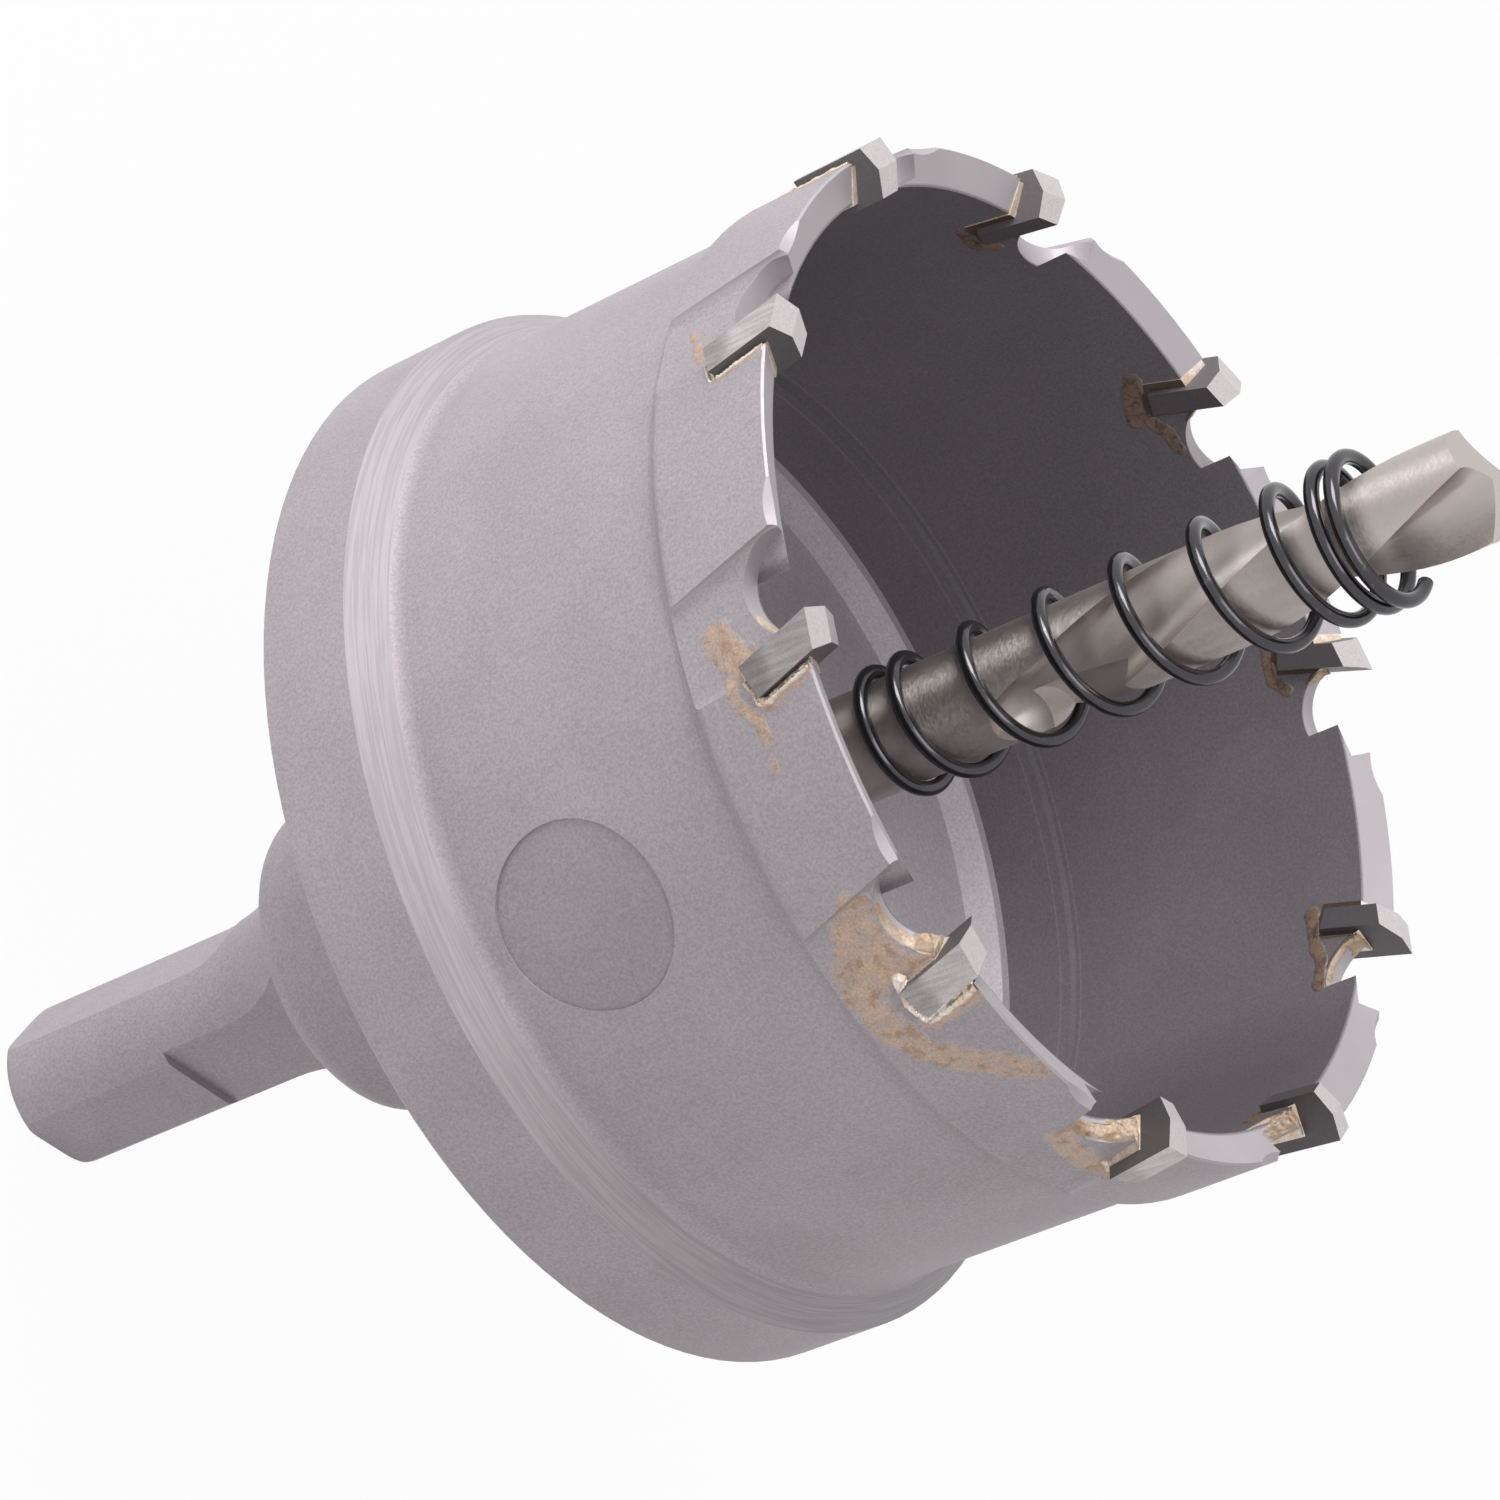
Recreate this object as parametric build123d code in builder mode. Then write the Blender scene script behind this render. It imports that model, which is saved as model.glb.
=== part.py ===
"""Carbide-tipped hole saw: one-piece steel cutter with ten brazed tips, a pilot drill and an ejector spring.

Frame: +Z runs along the tool axis from the shank's flat end towards the drill's point.
The origin is the centre of the shank's flat end. Angles are measured from +X towards +Y.
"""

import os
from math import acos, asin, atan, cos, degrees, pi, radians, sin, sqrt, tan

from build123d import *

# Shank with three milled flats
shank_diameter = 12.7
shank_flat_depth = 0.95
shank_flat_angle = 77.0
shank_end_round = 0.8
flat_end_height = 19.5
flat_runout_radius = 8.0
relief_flat_depth = 1.6
relief_flat_angle = 317.0
relief_flat_start = 15.6

# Neck and hub behind the flange
neck_start = 22.0
neck_length = 9.2
hub_diameter = 24.8
hub_length = 25.8
hub_round = 2.2

# Stop flange
flange_rim_width = 7.6
flange_chamfer_height = 2.4
flange_chamfer_width = 2.0
flange_fillet_width = 0.4
flange_edge_break = 0.35

# Cup wall, thicker in the band round the rim, and cup floor
bore_diameter = 69.8
body_wall = 1.7
band_wall = 2.65
band_height = 10.35
band_flare = 1.6
cup_height = 42.65
rim_fall = 1.2
rim_edge_break = 0.15
floor_thickness = 8.2
floor_slope_width = 1.65
floor_ledge_width = 0.9
floor_ledge_rise = 1.7
lower_bore_step = 0.35
lower_bore_rise = 7.7

# Teeth
tooth_count = 10
tooth_first_angle = 8.0
tooth_lean = 17.0
tip_width = 2.5
tip_taper = 5.3
tip_depth = 4.55
tip_rise = 1.55
tip_overhang = 0.55
tip_underhang = 0.6
tip_ridge_inset = 1.9
tip_outer_fall = 11.0
tip_inner_fall = 20.0
tip_relief = 8.0
seam = 0.35
seam_proud = 0.12
seam_setback = 0.35

# Gullet through the wall and scoop in the outer band, both ahead of each tooth
gullet_radius = 3.6
gullet_centre = -5.45
gullet_centre_drop = 0.35
scoop_angle = -6.5
scoop_depth = 0.45
scoop_tilt = 3.0
scoop_round = 0.8
scoop_length = 12.65
scoop_bottom_far = -1.6
scoop_bottom_near = 5.0
scoop_top_far = -6.0
scoop_top_near = 3.2
land_bevel_angle = -16.0
land_bevel_radius = 6.0
land_bevel_slope = 35.0
land_bevel_depth = 1.0

# Round recess on the side
spot_angle = 275.0
spot_rise = 18.7
spot_diameter = 13.4
spot_depth = 0.22

# Pilot drill
drill_diameter = 8.0
drill_clearance = 0.02
drill_grip = 38.2
drill_reach = 32.55
drill_lip_angle = 153.0
drill_point_angle = 135.0
drill_relief = 12.0
flute_length = 38.2
flute_pitch = 66.0
flute_radius = 2.9
flute_web = 2.0

# Ejector spring
wire_diameter = 1.1
spring_root_depth = 16.91
spring_root_turns = 0.5
spring_turns = 8.33
spring_root_pitch = 2.3
spring_open_pitch = 6.55
spring_end_pitch = 1.5
spring_closed_turns = 0.3
spring_opening_turns = 1.0
spring_open_turns = 3.9
spring_closing_turns = 2.0
spring_swell = 0.78
spring_grip_gap = 0.02

# Grub screw that holds the drill
screw_diameter = 5.0
screw_clearance = 0.05
screw_angle = 90.0
screw_rise = 12.8
screw_recess = 0.9
screw_edge_break = 0.4
screw_socket_width = 2.5
screw_socket_depth = 3.0

shank_radius = shank_diameter / 2
shank_flat_distance = shank_radius - shank_flat_depth
relief_flat_distance = shank_radius - relief_flat_depth
hub_radius = hub_diameter / 2
hub_rear = neck_start + neck_length
bore_radius = bore_diameter / 2
lower_bore_radius = bore_radius - lower_bore_step
floor_ledge_radius = lower_bore_radius - floor_ledge_width
body_radius = bore_radius + body_wall
band_radius = bore_radius + band_wall
chamfer_inner_radius = body_radius + flange_fillet_width
flange_radius = chamfer_inner_radius + flange_chamfer_width
flange_back = hub_rear + hub_length
flange_front = flange_back + flange_rim_width
chamfer_top = flange_front + flange_chamfer_height
floor_height = flange_back + floor_thickness
floor_ledge_height = floor_height + floor_ledge_rise
lower_bore_top = floor_height + lower_bore_rise
rim_height = flange_back + cup_height
band_start = rim_height - band_height
spot_height = flange_back + spot_rise
tip_outer_radius = band_radius + tip_overhang
tip_inner_radius = bore_radius - tip_underhang
tip_base_height = rim_height - tip_depth
tip_ridge_height = rim_height + tip_rise
gullet_centre_height = rim_height - gullet_centre_drop
drill_radius = drill_diameter / 2
drill_seat = floor_height - drill_grip
drill_tip_height = rim_height + drill_reach
flute_start = drill_tip_height - flute_length
screw_height = hub_rear + screw_rise
tooth_angles = [tooth_first_angle + 360 / tooth_count * i for i in range(tooth_count)]


def radial_plane(angle, distance=0.0, height=0.0, tilt=0.0):
    """Sketch plane facing away from the axis: x along the tangent, y up the axis."""
    turn = radians(angle)
    lift = radians(tilt)
    outward = (cos(turn) * cos(lift), sin(turn) * cos(lift), sin(lift))
    place = (distance * cos(turn), distance * sin(turn), height)
    return Plane(origin=place, x_dir=(-sin(turn), cos(turn), 0), z_dir=outward)


def section_plane(angle):
    """Sketch plane that holds the axis: x points outwards, y up the axis."""
    turn = radians(angle)
    return Plane(origin=(0, 0, 0), x_dir=(cos(turn), sin(turn), 0), z_dir=(sin(turn), -cos(turn), 0))


def leaned(along, up):
    """Point on a tooth's radial plane, from its place across and along the leaning tip."""
    lean = radians(tooth_lean)
    return (along * cos(lean) - up * sin(lean), tip_base_height + along * sin(lean) + up * cos(lean))


def pocket_outline():
    """Corners of a tip's pocket on its radial plane, with room for braze under and behind the tip."""
    rise = (tip_depth + tip_width) / cos(radians(tooth_lean))
    return [
        leaned(-tip_width / 2, -seam),
        leaned(tip_width / 2 + seam, -seam),
        leaned(tip_width / 2 + seam, rise),
        leaned(-tip_width / 2, rise),
    ]


def arc_point(centre, radius, angle):
    """Point of the turned profile on a circle, from its centre and an angle off the outward direction."""
    return (centre[0] + radius * cos(radians(angle)), centre[1] + radius * sin(radians(angle)))


def neck_arc_middle():
    """Point halfway round the concave arc between the shank and the hub's rear."""
    reach = hub_radius - hub_round - shank_radius
    rise = hub_rear - neck_start
    radius = (reach ** 2 + rise ** 2) / (2 * reach)
    swing = asin(rise / radius) / 2
    return (shank_radius + radius * (1 - cos(swing)), neck_start + radius * sin(swing))


def fillet_middle():
    """Height and middle point of the concave fillet from the flange's chamfer to the body."""
    slope = pi / 2 - acos(flange_chamfer_width / sqrt(flange_chamfer_width ** 2 + flange_chamfer_height ** 2))
    radius = (chamfer_inner_radius - body_radius) / (1 - cos(slope))
    height = radius * sin(slope)
    middle = (body_radius + radius * (1 - cos(slope / 2)), chamfer_top + height - radius * sin(slope / 2))
    return height, middle


def flare_arcs():
    """Middles of the concave and convex arcs that widen the body to the rim band, and the point where they meet."""
    step = (band_radius - body_radius) / 2
    half = band_flare / 2
    swing = 2 * atan(step / half)
    radius = half / sin(swing)
    reach = radius * (1 - cos(swing / 2))
    rise = radius * sin(swing / 2)
    return (
        (body_radius + reach, band_start + rise),
        (body_radius + step, band_start + half),
        (band_radius - reach, band_start + band_flare - rise),
    )


fillet_height, fillet_mid = fillet_middle()
flare_low, flare_mid, flare_high = flare_arcs()
shank_end_middle = arc_point((shank_radius - shank_end_round, shank_end_round), shank_end_round, -45)
hub_round_middle = arc_point((hub_radius - hub_round, hub_rear + hub_round), hub_round, -45)

with BuildPart() as cutter_body:
    with BuildSketch(Plane.XZ) as profile:
        with BuildLine():
            Polyline((0, neck_start), (0, 0), (shank_radius - shank_end_round, 0))
            ThreePointArc((shank_radius - shank_end_round, 0), shank_end_middle, (shank_radius, shank_end_round))
            Line((shank_radius, shank_end_round), (shank_radius, neck_start))
            ThreePointArc((shank_radius, neck_start), neck_arc_middle(), (hub_radius - hub_round, hub_rear))
            ThreePointArc((hub_radius - hub_round, hub_rear), hub_round_middle, (hub_radius, hub_rear + hub_round))
            Polyline(
                (hub_radius, hub_rear + hub_round),
                (hub_radius, flange_back),
                (flange_radius - flange_edge_break, flange_back),
                (flange_radius, flange_back + flange_edge_break),
                (flange_radius, flange_front),
                (chamfer_inner_radius, chamfer_top),
            )
            ThreePointArc((chamfer_inner_radius, chamfer_top), fillet_mid, (body_radius, chamfer_top + fillet_height))
            Line((body_radius, chamfer_top + fillet_height), (body_radius, band_start))
            ThreePointArc((body_radius, band_start), flare_low, flare_mid)
            ThreePointArc(flare_mid, flare_high, (band_radius, band_start + band_flare))
            Polyline(
                (band_radius, band_start + band_flare),
                (band_radius, rim_height - rim_edge_break),
                (band_radius - rim_edge_break, rim_height),
                (bore_radius, rim_height - rim_fall),
                (bore_radius, lower_bore_top),
                (lower_bore_radius, lower_bore_top - lower_bore_step),
                (lower_bore_radius, floor_ledge_height),
                (floor_ledge_radius, floor_ledge_height),
                (floor_ledge_radius - floor_slope_width, floor_height),
                (0, floor_height),
                (0, neck_start),
            )
        make_face()
    revolve(axis=Axis.Z)
    # Three flats on the shank, the widest of them relieved deeper next to the neck
    runout_angle = radians(60)
    runout_end = (
        shank_flat_distance + flat_runout_radius * (1 - cos(runout_angle)),
        flat_end_height + flat_runout_radius * sin(runout_angle),
    )
    runout_middle = (
        shank_flat_distance + flat_runout_radius * (1 - cos(runout_angle / 2)),
        flat_end_height + flat_runout_radius * sin(runout_angle / 2),
    )
    for turn in range(3):
        with BuildSketch(section_plane(shank_flat_angle + 120 * turn)):
            with BuildLine():
                Line((shank_flat_distance, -1), (shank_flat_distance, flat_end_height))
                ThreePointArc((shank_flat_distance, flat_end_height), runout_middle, runout_end)
                Polyline(runout_end, (hub_diameter, runout_end[1]), (hub_diameter, -1), (shank_flat_distance, -1))
            make_face()
        extrude(amount=hub_radius, both=True, mode=Mode.SUBTRACT)
    with BuildSketch(radial_plane(relief_flat_angle, relief_flat_distance)):
        with Locations((0, (relief_flat_start + hub_rear) / 2)):
            Rectangle(hub_diameter, hub_rear - relief_flat_start)
    extrude(amount=hub_radius, mode=Mode.SUBTRACT)
    # Seat of the pilot drill and the hole of its grub screw
    with BuildSketch(Plane.XY.offset(drill_seat)):
        Circle(drill_radius + drill_clearance)
    extrude(amount=floor_height - drill_seat, mode=Mode.SUBTRACT)
    with BuildSketch(radial_plane(screw_angle, 0, screw_height)):
        Circle(screw_diameter / 2 + screw_clearance)
    extrude(amount=hub_diameter, mode=Mode.SUBTRACT)
    # Scoops, gullets, tip pockets and bevels round the rim
    slope = radians(land_bevel_slope)
    bevel_axis_radius = band_radius - land_bevel_depth + land_bevel_radius * sin(slope)
    bevel_axis_height = rim_height + land_bevel_radius * cos(slope)
    with BuildPart(mode=Mode.PRIVATE) as scoop:
        with BuildSketch(radial_plane(0, band_radius - scoop_depth, rim_height - scoop_length, scoop_tilt)):
            with BuildLine():
                Polyline(
                    (scoop_bottom_far, 0),
                    (scoop_bottom_near, 0),
                    (scoop_top_near, scoop_length + 3 * scoop_round),
                    (scoop_top_far, scoop_length + 3 * scoop_round),
                    close=True,
                )
            make_face()
        extrude(amount=scoop_length / 2)
        fillet(scoop.faces().sort_by(Axis.X)[0].edges(), scoop_round)
    for angle in tooth_angles:
        add(scoop.part, rotation=(0, 0, angle + scoop_angle), mode=Mode.SUBTRACT)
        with BuildSketch(radial_plane(angle, tip_inner_radius, gullet_centre_height)):
            with Locations((gullet_centre, 0)):
                Circle(gullet_radius)
        extrude(amount=2 * band_wall, mode=Mode.SUBTRACT)
        with BuildSketch(radial_plane(angle, tip_inner_radius)):
            with BuildLine():
                Polyline(*pocket_outline(), close=True)
            make_face()
        extrude(amount=2 * band_wall, mode=Mode.SUBTRACT)
        with BuildSketch(
            radial_plane(angle + land_bevel_angle, bevel_axis_radius, bevel_axis_height, -land_bevel_slope)
        ):
            Circle(land_bevel_radius)
        extrude(amount=land_bevel_radius, both=True, mode=Mode.SUBTRACT)
    # Shallow round recess that follows the curve of the wall
    with BuildSketch(Plane.XY.offset(spot_height - spot_diameter)):
        Circle(band_radius)
        Circle(body_radius - spot_depth, mode=Mode.SUBTRACT)
    recess_shell = extrude(amount=2 * spot_diameter, mode=Mode.PRIVATE)
    with BuildSketch(radial_plane(spot_angle, 0, spot_height)):
        Circle(spot_diameter / 2)
    recess_plug = extrude(amount=flange_radius, mode=Mode.PRIVATE)
    add(recess_shell & recess_plug, mode=Mode.SUBTRACT)
cutter_body.part.label = "cutter_body"


def grind(angle, ridge_radius, ridge_height, inner_fall, outer_fall, relief):
    """Takes off what stands above a low roof, whose ridge crosses a tooth's radial plane at a radius and height."""
    reach = 3 * tip_width
    turn = radians(angle)
    with BuildSketch(section_plane(angle)) as above:
        with BuildLine():
            Polyline(
                (ridge_radius - reach, ridge_height - reach * tan(radians(inner_fall))),
                (ridge_radius, ridge_height),
                (ridge_radius + reach, ridge_height - reach * tan(radians(outer_fall))),
                (ridge_radius + reach, ridge_height + reach),
                (ridge_radius - reach, ridge_height + reach),
                close=True,
            )
        make_face()
    way = (-sin(turn), cos(turn), -tan(radians(relief)))
    extrude(above.sketch, amount=reach, dir=way, both=True, mode=Mode.SUBTRACT)


def carbide_tip(angle):
    """One carbide block, narrower inwards, its land ground as a low roof that falls away behind the cutting edge."""
    lean = radians(tooth_lean)
    length = (tip_ridge_height - tip_base_height) / cos(lean) + tip_width
    lead = tip_width / 2 * cos(lean) + (tip_ridge_height - leaned(-tip_width / 2, 0)[1]) * tan(lean)
    with BuildPart() as block:
        with BuildSketch(radial_plane(angle, tip_outer_radius)):
            with BuildLine():
                Polyline(
                    leaned(-tip_width / 2, 0),
                    leaned(tip_width / 2, 0),
                    leaned(tip_width / 2, length),
                    leaned(-tip_width / 2, length),
                    close=True,
                )
            make_face()
        extrude(amount=tip_inner_radius - tip_outer_radius, taper=tip_taper)
        ridge_height = tip_ridge_height - lead * tan(radians(tip_relief))
        grind(angle, tip_outer_radius - tip_ridge_inset, ridge_height, tip_inner_fall, tip_outer_fall, tip_relief)
    return block


def braze_seam(angle, tip):
    """Braze that fills one pocket round its tip, slightly proud of the bore and of the rim's face."""
    with BuildPart() as fill:
        with BuildSketch(radial_plane(angle, bore_radius - seam_proud)):
            with BuildLine():
                Polyline(*pocket_outline(), close=True)
            make_face()
        extrude(amount=band_wall + seam_proud - seam_setback)
        with BuildSketch(radial_plane(angle, tip_inner_radius, gullet_centre_height)):
            with Locations((gullet_centre, 0)):
                Circle(gullet_radius)
        extrude(amount=2 * band_wall, mode=Mode.SUBTRACT)
        grind(angle, band_radius, rim_height + seam_proud, degrees(atan(rim_fall / band_wall)), 0, 0)
        add(tip, mode=Mode.SUBTRACT)
    return fill


tips = [carbide_tip(angle) for angle in tooth_angles]
seams = [braze_seam(angle, tip.part) for angle, tip in zip(tooth_angles, tips)]
for index in range(tooth_count):
    tips[index].part.label = f"carbide_tip_{index + 1:02d}"
    seams[index].part.label = f"braze_seam_{index + 1:02d}"

# Pilot drill: plain round shank, two left-hand flutes and a two-facet point
flute_centre = flute_web / 2 + flute_radius
flute_half_angle = degrees(
    acos((drill_radius ** 2 + flute_centre ** 2 - flute_radius ** 2) / (2 * drill_radius * flute_centre))
)
flute_first_angle = drill_lip_angle - flute_half_angle + 360 * flute_length / flute_pitch
point_slope = 1 / tan(radians(drill_point_angle / 2))
relief_slope = tan(radians(drill_relief))
with BuildPart() as pilot_drill:
    with BuildSketch(Plane.XY.offset(drill_seat)):
        Circle(drill_radius)
    extrude(amount=drill_tip_height - drill_seat)
    with BuildLine() as flute_path:
        Helix(
            pitch=flute_pitch,
            height=flute_length + drill_radius,
            radius=flute_centre,
            center=(0, 0, flute_start),
            lefthand=True,
        )
    with BuildSketch(Plane(origin=flute_path.line @ 0, z_dir=flute_path.line % 0)) as flute_section:
        Circle(flute_radius)
    flute = sweep(flute_section.sketch, path=flute_path.line, is_frenet=True, mode=Mode.PRIVATE)
    for side in (0, 180):
        add(flute, rotation=(0, 0, flute_first_angle + side), mode=Mode.SUBTRACT)
        start = radians(flute_first_angle + side)
        with Locations((flute_centre * cos(start), flute_centre * sin(start), flute_start)):
            Sphere(flute_radius, mode=Mode.SUBTRACT)
        lip = radians(drill_lip_angle + side)
        facet_normal = (
            point_slope * cos(lip) - relief_slope * sin(lip),
            point_slope * sin(lip) + relief_slope * cos(lip),
            1,
        )
        with BuildSketch(Plane(origin=(0, 0, drill_tip_height), z_dir=facet_normal)):
            Rectangle(4 * drill_diameter, 4 * drill_diameter)
        extrude(amount=drill_diameter, mode=Mode.SUBTRACT)
pilot_drill.part.label = "pilot_drill"


def spring_rise(turns):
    """Height gained after a number of turns: close at both ends, open between."""
    def ramp(start, length, change):
        inside = min(max(turns - start, 0), length)
        beyond = max(turns - start - length, 0)
        return change * (inside ** 2 / (2 * length) + beyond)

    closing_start = spring_closed_turns + spring_opening_turns + spring_open_turns
    opening = ramp(spring_closed_turns, spring_opening_turns, spring_open_pitch - spring_root_pitch)
    closing = ramp(closing_start, spring_closing_turns, spring_end_pitch - spring_open_pitch)
    return spring_root_pitch * turns + opening + closing


def spring_point(turns):
    """Point on the wire's centre line, counted from the turn where the wire first faces -Y."""
    share = (turns + spring_root_turns) / (spring_turns + spring_root_turns)
    reach = drill_radius + spring_grip_gap + wire_diameter / 2 + spring_swell * share
    angle = radians(270 + 360 * turns)
    return (reach * cos(angle), reach * sin(angle), rim_height - spring_root_depth + spring_rise(turns))


steps = 12
spring_steps = round((spring_turns + spring_root_turns) * steps)
spring_points = [
    spring_point(-spring_root_turns + (spring_turns + spring_root_turns) * i / spring_steps)
    for i in range(spring_steps + 1)
]
with BuildPart() as ejector_spring:
    with BuildLine() as wire_path:
        Spline(*spring_points)
    with BuildSketch(Plane(origin=wire_path.line @ 0, z_dir=wire_path.line % 0)) as wire_section:
        Circle(wire_diameter / 2)
    sweep(wire_section.sketch, path=wire_path.line, is_frenet=True)
ejector_spring.part.label = "ejector_spring"

screw_length = hub_radius - screw_recess - drill_radius
with BuildPart() as grub_screw:
    with BuildSketch(radial_plane(screw_angle, drill_radius, screw_height)):
        Circle(screw_diameter / 2)
    extrude(amount=screw_length)
    chamfer(grub_screw.edges(), length=screw_edge_break)
    with BuildSketch(radial_plane(screw_angle, drill_radius + screw_length, screw_height)):
        RegularPolygon(radius=screw_socket_width / 2, side_count=6, major_radius=False)
    extrude(amount=-screw_socket_depth, mode=Mode.SUBTRACT)
grub_screw.part.label = "grub_screw"

os.makedirs("parts", exist_ok=True)
export_step(cutter_body.part, "parts/cutter_body.step")
for piece in tips + seams:
    export_step(piece.part, f"parts/{piece.part.label}.step")
export_step(pilot_drill.part, "parts/pilot_drill.step")
export_step(ejector_spring.part, "parts/ejector_spring.step")
export_step(grub_screw.part, "parts/grub_screw.step")
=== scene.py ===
"""Looks of a carbide-tipped hole saw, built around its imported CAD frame.

Lengths are in metres, in the CAD frame: +Z runs along the tool's axis to the drill's point, and angles are
measured from +X towards +Y. Sizes in millimetres are multiplied by MM.
"""

from math import cos, hypot, radians, sin, sqrt

import bpy
from mathutils import Matrix, Vector, noise
from mathutils.bvhtree import BVHTree


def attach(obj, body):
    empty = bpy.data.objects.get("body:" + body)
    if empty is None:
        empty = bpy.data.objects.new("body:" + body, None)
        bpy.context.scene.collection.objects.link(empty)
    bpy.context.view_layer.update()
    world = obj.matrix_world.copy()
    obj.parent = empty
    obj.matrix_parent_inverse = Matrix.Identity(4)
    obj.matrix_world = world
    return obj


MM = 0.001

# Camera, fitted to the photograph's edges
FLANGE_BACK = 57.0 * MM
CAMERA_DISTANCE = 413.4 * MM
CAMERA_ELEVATION = 32.93
CAMERA_ROLL = -66.99
CAMERA_YAW = -0.415
CAMERA_PITCH = 1.59
FOCAL_PIXELS = 5646.2
IMAGE_PIXELS = 1500
SENSOR_WIDTH = 36.0

# Sizes of the CAD frame that the finishes follow
FLANGE_FRONT = 64.6 * MM
CHAMFER_TOP = 67.0 * MM
CHAMFER_INNER = 37.0 * MM
BODY_RADIUS = 36.6 * MM
BAND_RADIUS = 37.55 * MM
BAND_START = 90.6 * MM
BORE_RADIUS = 34.9 * MM
RIM_HEIGHT = 99.65 * MM
RIM_FALL = 1.2 * MM
FLOOR_HEIGHT = 65.2 * MM
FLOOR_LEDGE = 66.9 * MM
LOWER_BORE_TOP = 72.9 * MM
TOOTH_COUNT = 10
TOOTH_FIRST_ANGLE = 8.0
TIP_BASE = 95.1 * MM
GULLET_CENTRE = -5.45 * MM
GULLET_HEIGHT = 99.3 * MM
GULLET_RADIUS = 3.6 * MM

# Colours that more than one material uses
BLASTED_STEEL = (0.438, 0.392, 0.417, 1)
BORE_STEEL = (0.212, 0.191, 0.206, 1)
WHITE = (1, 1, 1, 1)

# Tips whose carbide is darker than the others
DULL_TIPS = (4, 8)

# Stage
LIT_MIDDLE = 70 * MM
SKY_TILT = 0.85
FLOOR_REACH = 3.0
FLOOR_WHITE = 0.95
FLOOR_COLOUR = (0.7, 0.7, 0.7, 1)

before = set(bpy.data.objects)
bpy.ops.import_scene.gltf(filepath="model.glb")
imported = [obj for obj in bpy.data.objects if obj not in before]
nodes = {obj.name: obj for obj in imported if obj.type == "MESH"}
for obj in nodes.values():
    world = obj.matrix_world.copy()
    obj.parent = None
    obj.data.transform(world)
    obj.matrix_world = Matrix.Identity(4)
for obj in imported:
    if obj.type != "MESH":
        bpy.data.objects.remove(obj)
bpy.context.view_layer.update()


# Shader helpers

def new_material(name):
    """Empty node material with a Principled shader; returns the material, its tree and the shader."""
    material = bpy.data.materials.new(name)
    material.use_nodes = True
    tree = material.node_tree
    tree.nodes.clear()
    shader = tree.nodes.new("ShaderNodeBsdfPrincipled")
    output = tree.nodes.new("ShaderNodeOutputMaterial")
    tree.links.new(shader.outputs["BSDF"], output.inputs["Surface"])
    return material, tree, shader


def feed(tree, socket, value):
    """Links a socket, or sets a plain value, on an input socket."""
    if isinstance(value, bpy.types.NodeSocket):
        tree.links.new(value, socket)
    elif isinstance(value, tuple):
        socket.default_value = value[: len(socket.default_value)]
    else:
        socket.default_value = value


def calc(tree, operation, first, second=0.0):
    """One Math node."""
    node = tree.nodes.new("ShaderNodeMath")
    node.operation = operation
    feed(tree, node.inputs[0], first)
    feed(tree, node.inputs[1], second)
    return node.outputs[0]


def product(tree, first, *others):
    """Product of numbers."""
    for other in others:
        first = calc(tree, "MULTIPLY", first, other)
    return first


def largest(tree, first, *others):
    """Largest of some numbers."""
    for other in others:
        first = calc(tree, "MAXIMUM", first, other)
    return first


def vector_calc(tree, operation, first, second=(0, 0, 0)):
    """One Vector Math node; a dot product gives a number and the other operations give a vector."""
    node = tree.nodes.new("ShaderNodeVectorMath")
    node.operation = operation
    feed(tree, node.inputs[0], first)
    feed(tree, node.inputs[1], second)
    return node.outputs["Value" if operation == "DOT_PRODUCT" else "Vector"]


def ramp(tree, value, low, high, to_low=0.0, to_high=1.0):
    """Smooth step of a value between two limits."""
    remap = tree.nodes.new("ShaderNodeMapRange")
    remap.interpolation_type = "SMOOTHSTEP"
    feed(tree, remap.inputs["Value"], value)
    remap.inputs["From Min"].default_value = low
    remap.inputs["From Max"].default_value = high
    remap.inputs["To Min"].default_value = to_low
    remap.inputs["To Max"].default_value = to_high
    return remap.outputs["Result"]


def band(tree, value, low, high, soft):
    """1 between two limits and 0 outside, with soft edges."""
    return product(tree, ramp(tree, value, low - soft, low), ramp(tree, value, high + soft, high))


def factor_on(tree, mask, factor):
    """A factor where the mask is 1, and 1 where it is 0."""
    return ramp(tree, mask, 0, 1, to_low=1, to_high=factor)


def blend(tree, share, first, second):
    """Mix of two colours."""
    mix = tree.nodes.new("ShaderNodeMix")
    mix.data_type = "RGBA"
    feed(tree, mix.inputs["Factor"], share)
    feed(tree, mix.inputs["A"], first)
    feed(tree, mix.inputs["B"], second)
    return mix.outputs["Result"]


def blend_value(tree, share, first, second):
    """Mix of two numbers."""
    mix = tree.nodes.new("ShaderNodeMix")
    feed(tree, mix.inputs["Factor"], share)
    feed(tree, mix.inputs["A"], first)
    feed(tree, mix.inputs["B"], second)
    return mix.outputs["Result"]


def grain(tree, vector, size, detail=2.0, roughness=0.5):
    """Noise whose features are about one size across."""
    texture = tree.nodes.new("ShaderNodeTexNoise")
    tree.links.new(vector, texture.inputs["Vector"])
    texture.inputs["Scale"].default_value = 1 / size
    texture.inputs["Detail"].default_value = detail
    texture.inputs["Roughness"].default_value = roughness
    return texture.outputs["Fac"]


def scaled(tree, colour, factor):
    """Colour times a number."""
    mix = tree.nodes.new("ShaderNodeVectorMath")
    mix.operation = "SCALE"
    feed(tree, mix.inputs[0], colour)
    feed(tree, mix.inputs["Scale"], factor)
    return mix.outputs["Vector"]


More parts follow.
